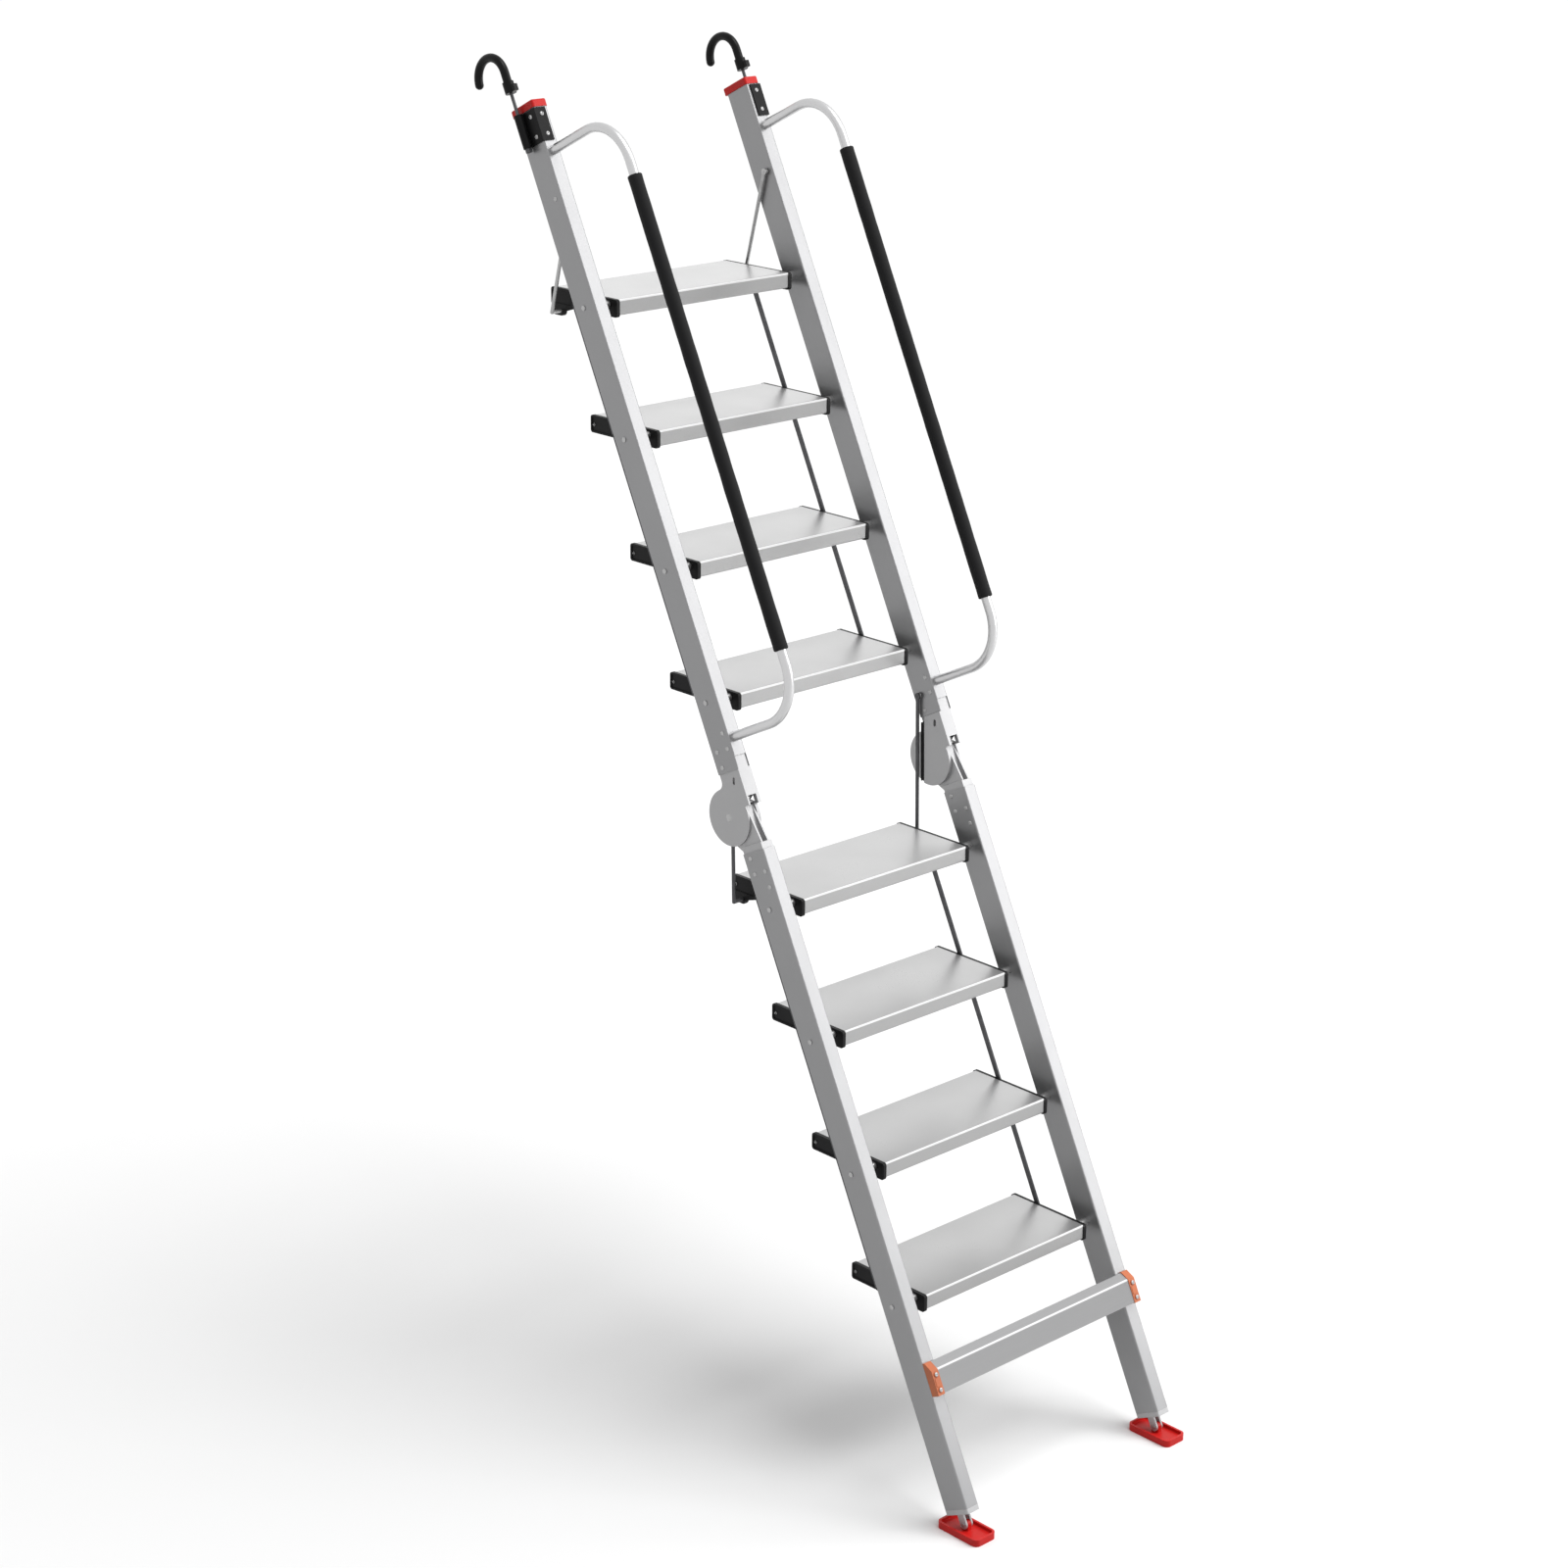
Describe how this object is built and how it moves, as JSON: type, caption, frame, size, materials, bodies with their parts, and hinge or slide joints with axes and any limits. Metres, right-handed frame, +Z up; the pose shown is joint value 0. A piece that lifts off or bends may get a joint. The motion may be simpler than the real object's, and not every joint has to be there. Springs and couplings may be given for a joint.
{
  "type": "folding loft ladder",
  "caption": "Hook-on folding loft ladder: two hinged aluminium sections, linked folding treads, foam-gripped handrails, swivel feet and adjustable rubber-coated hooks.",
  "frame": {"origin": "on the floor, midway between the two foot pivots", "axes": "+Z up, +Y to the rear where the top leans, +X to the right of someone facing +Y"},
  "size_m": [0.66, 1.5161, 2.807],
  "materials": {
    "stile": "anodised satin",
    "tread": "fine ribbed, brushed",
    "hinge": "die cast, satin",
    "crossbar": "brushed",
    "handrail": "polished tube",
    "black_plastic": "moulded",
    "red_plastic": "moulded",
    "orange_plastic": "moulded",
    "foam": "soft foam",
    "hook_coat": "dipped rubber",
    "bracket": "black powder coat",
    "steel": "zinc plated",
    "dark_steel": "dark zinc"
  },
  "bodies": {
    "upper_section": {"upper_stile_left": "stile", "upper_stile_right": "stile", "top_cap_left": "red_plastic", "top_cap_right": "red_plastic", "hook_bracket_left": "bracket", "hook_bracket_right": "bracket", "bracket_screws": "steel", "handrail_left": "handrail", "handrail_right": "handrail", "grip_left": "foam", "grip_right": "foam", "upper_hinge_left": "hinge", "upper_hinge_right": "hinge", "hinge_pins": "steel", "rod_guides": "black_plastic", "hinge_catches": "steel", "hinge_rivets_upper": "steel", "upper_pivot_pins": "steel"},
    "lower_section": {"lower_stile_left": "stile", "lower_stile_right": "stile", "lower_hinge_left": "hinge", "lower_hinge_right": "hinge", "hinge_rivets_lower": "steel", "lower_pivot_pins": "steel", "crossbar": "crossbar", "crossbar_cap_left": "orange_plastic", "crossbar_cap_right": "orange_plastic", "foot_plug_left": "hinge", "foot_plug_right": "hinge", "foot_pins": "steel"},
    "tread_1": {"tread_1": "tread", "tread_caps_1": "black_plastic"},
    "tread_2": {"tread_2": "tread", "tread_caps_2": "black_plastic"},
    "tread_3": {"tread_3": "tread", "tread_caps_3": "black_plastic"},
    "tread_4": {"tread_4": "tread", "tread_caps_4": "black_plastic"},
    "tread_5": {"tread_5": "tread", "tread_caps_5": "black_plastic"},
    "tread_6": {"tread_6": "tread", "tread_caps_6": "black_plastic"},
    "tread_7": {"tread_7": "tread", "tread_caps_7": "black_plastic"},
    "tread_8": {"tread_8": "tread", "tread_caps_8": "black_plastic"},
    "upper_links": {"upper_link_left": "dark_steel", "upper_link_right": "dark_steel"},
    "lower_links": {"lower_link_left": "dark_steel", "lower_link_right": "dark_steel"},
    "stay_rods": {"stay_rod_left": "steel", "stay_rod_right": "steel"},
    "hinge_rods": {"hinge_rod_left": "dark_steel", "hinge_rod_right": "dark_steel"},
    "foot_left": {"foot_left": "red_plastic"},
    "hook_rod_left": {"hook_rod_left": "dark_steel"},
    "hook_left": {"hook_left": "hook_coat"},
    "foot_right": {"foot_right": "red_plastic"},
    "hook_rod_right": {"hook_rod_right": "dark_steel"},
    "hook_right": {"hook_right": "hook_coat"}
  },
  "joints": [
    {"name": "ladder_fold", "type": "hinge", "parent": "upper_section", "child": "lower_section", "pos_m": [0, 0.69901, 1.34544], "axis": [1, 0, 0], "range_deg": [0, 175]},
    {"name": "tread_1_fold", "type": "hinge", "parent": "upper_section", "child": "tread_1", "pos_m": [0, 1.13681, 2.32352], "axis": [1, 0, 0], "range_deg": [0, 64.1]},
    {"name": "tread_2_fold", "type": "hinge", "parent": "upper_section", "child": "tread_2", "pos_m": [0, 1.0138, 2.07352], "axis": [1, 0, 0], "range_deg": [0, 64.1]},
    {"name": "tread_3_fold", "type": "hinge", "parent": "upper_section", "child": "tread_3", "pos_m": [0, 0.89078, 1.82352], "axis": [1, 0, 0], "range_deg": [0, 64.1]},
    {"name": "tread_4_fold", "type": "hinge", "parent": "upper_section", "child": "tread_4", "pos_m": [0, 0.76777, 1.57352], "axis": [1, 0, 0], "range_deg": [0, 64.1]},
    {"name": "tread_5_fold", "type": "hinge", "parent": "lower_section", "child": "tread_5", "pos_m": [0, 0.57483, 1.18141], "axis": [1, 0, 0], "range_deg": [0, 64.1]},
    {"name": "tread_6_fold", "type": "hinge", "parent": "lower_section", "child": "tread_6", "pos_m": [0, 0.45182, 0.93141], "axis": [1, 0, 0], "range_deg": [0, 64.1]},
    {"name": "tread_7_fold", "type": "hinge", "parent": "lower_section", "child": "tread_7", "pos_m": [0, 0.3288, 0.68141], "axis": [1, 0, 0], "range_deg": [0, 64.1]},
    {"name": "tread_8_fold", "type": "hinge", "parent": "lower_section", "child": "tread_8", "pos_m": [0, 0.20578, 0.43141], "axis": [1, 0, 0], "range_deg": [0, 64.1]},
    {"name": "upper_links_pivot", "type": "hinge", "parent": "tread_1", "child": "upper_links", "pos_m": [0, 1.23881, 2.30652], "axis": [1, 0, 0], "range_deg": [-64.1, 0]},
    {"name": "lower_links_pivot", "type": "hinge", "parent": "tread_5", "child": "lower_links", "pos_m": [0, 0.67683, 1.16441], "axis": [1, 0, 0], "range_deg": [-64.1, 0]},
    {"name": "stay_rods_pivot", "type": "hinge", "parent": "tread_1", "child": "stay_rods", "pos_m": [0, 1.28681, 2.28852], "axis": [1, 0, 0], "range_deg": [-101.08, 0]},
    {"name": "hinge_rods_pivot", "type": "hinge", "parent": "tread_5", "child": "hinge_rods", "pos_m": [0, 0.72483, 1.14641], "axis": [1, 0, 0], "range_deg": [-264.95, 0]},
    {"name": "foot_swivel_left", "type": "hinge", "parent": "lower_section", "child": "foot_left", "pos_m": [-0.291, 0, 0.02], "axis": [1, 0, 0], "range_deg": [-45, 12]},
    {"name": "hook_height_left", "type": "slide", "parent": "upper_section", "child": "hook_rod_left", "axis": [0, 0.4415, 0.8973], "range_m": [-0.029, 0]},
    {"name": "hook_swivel_left", "type": "hinge", "parent": "hook_rod_left", "child": "hook_left", "pos_m": [-0.318, 1.36575, 2.77291], "axis": [0, 0.4415, 0.8973], "range_deg": [-90, 90]},
    {"name": "foot_swivel_right", "type": "hinge", "parent": "lower_section", "child": "foot_right", "pos_m": [0.291, 0, 0.02], "axis": [1, 0, 0], "range_deg": [-45, 12]},
    {"name": "hook_height_right", "type": "slide", "parent": "upper_section", "child": "hook_rod_right", "axis": [0, 0.4415, 0.8973], "range_m": [-0.029, 0]},
    {"name": "hook_swivel_right", "type": "hinge", "parent": "hook_rod_right", "child": "hook_right", "pos_m": [0.318, 1.36575, 2.77291], "axis": [0, 0.4415, 0.8973], "range_deg": [-90, 90]}
  ],
  "couplings": [
    {"joint": "tread_1_fold", "follows": "ladder_fold", "ratio": 0.36457},
    {"joint": "tread_2_fold", "follows": "ladder_fold", "ratio": 0.36457},
    {"joint": "tread_3_fold", "follows": "ladder_fold", "ratio": 0.36457},
    {"joint": "tread_4_fold", "follows": "ladder_fold", "ratio": 0.36457},
    {"joint": "tread_5_fold", "follows": "ladder_fold", "ratio": 0.36457},
    {"joint": "tread_6_fold", "follows": "ladder_fold", "ratio": 0.36457},
    {"joint": "tread_7_fold", "follows": "ladder_fold", "ratio": 0.36457},
    {"joint": "tread_8_fold", "follows": "ladder_fold", "ratio": 0.36457},
    {"joint": "upper_links_pivot", "follows": "ladder_fold", "ratio": -0.36457},
    {"joint": "lower_links_pivot", "follows": "ladder_fold", "ratio": -0.36457},
    {"joint": "stay_rods_pivot", "follows": "ladder_fold", "ratio": -0.57586},
    {"joint": "hinge_rods_pivot", "follows": "ladder_fold", "ratio": -1.5123}
  ]
}
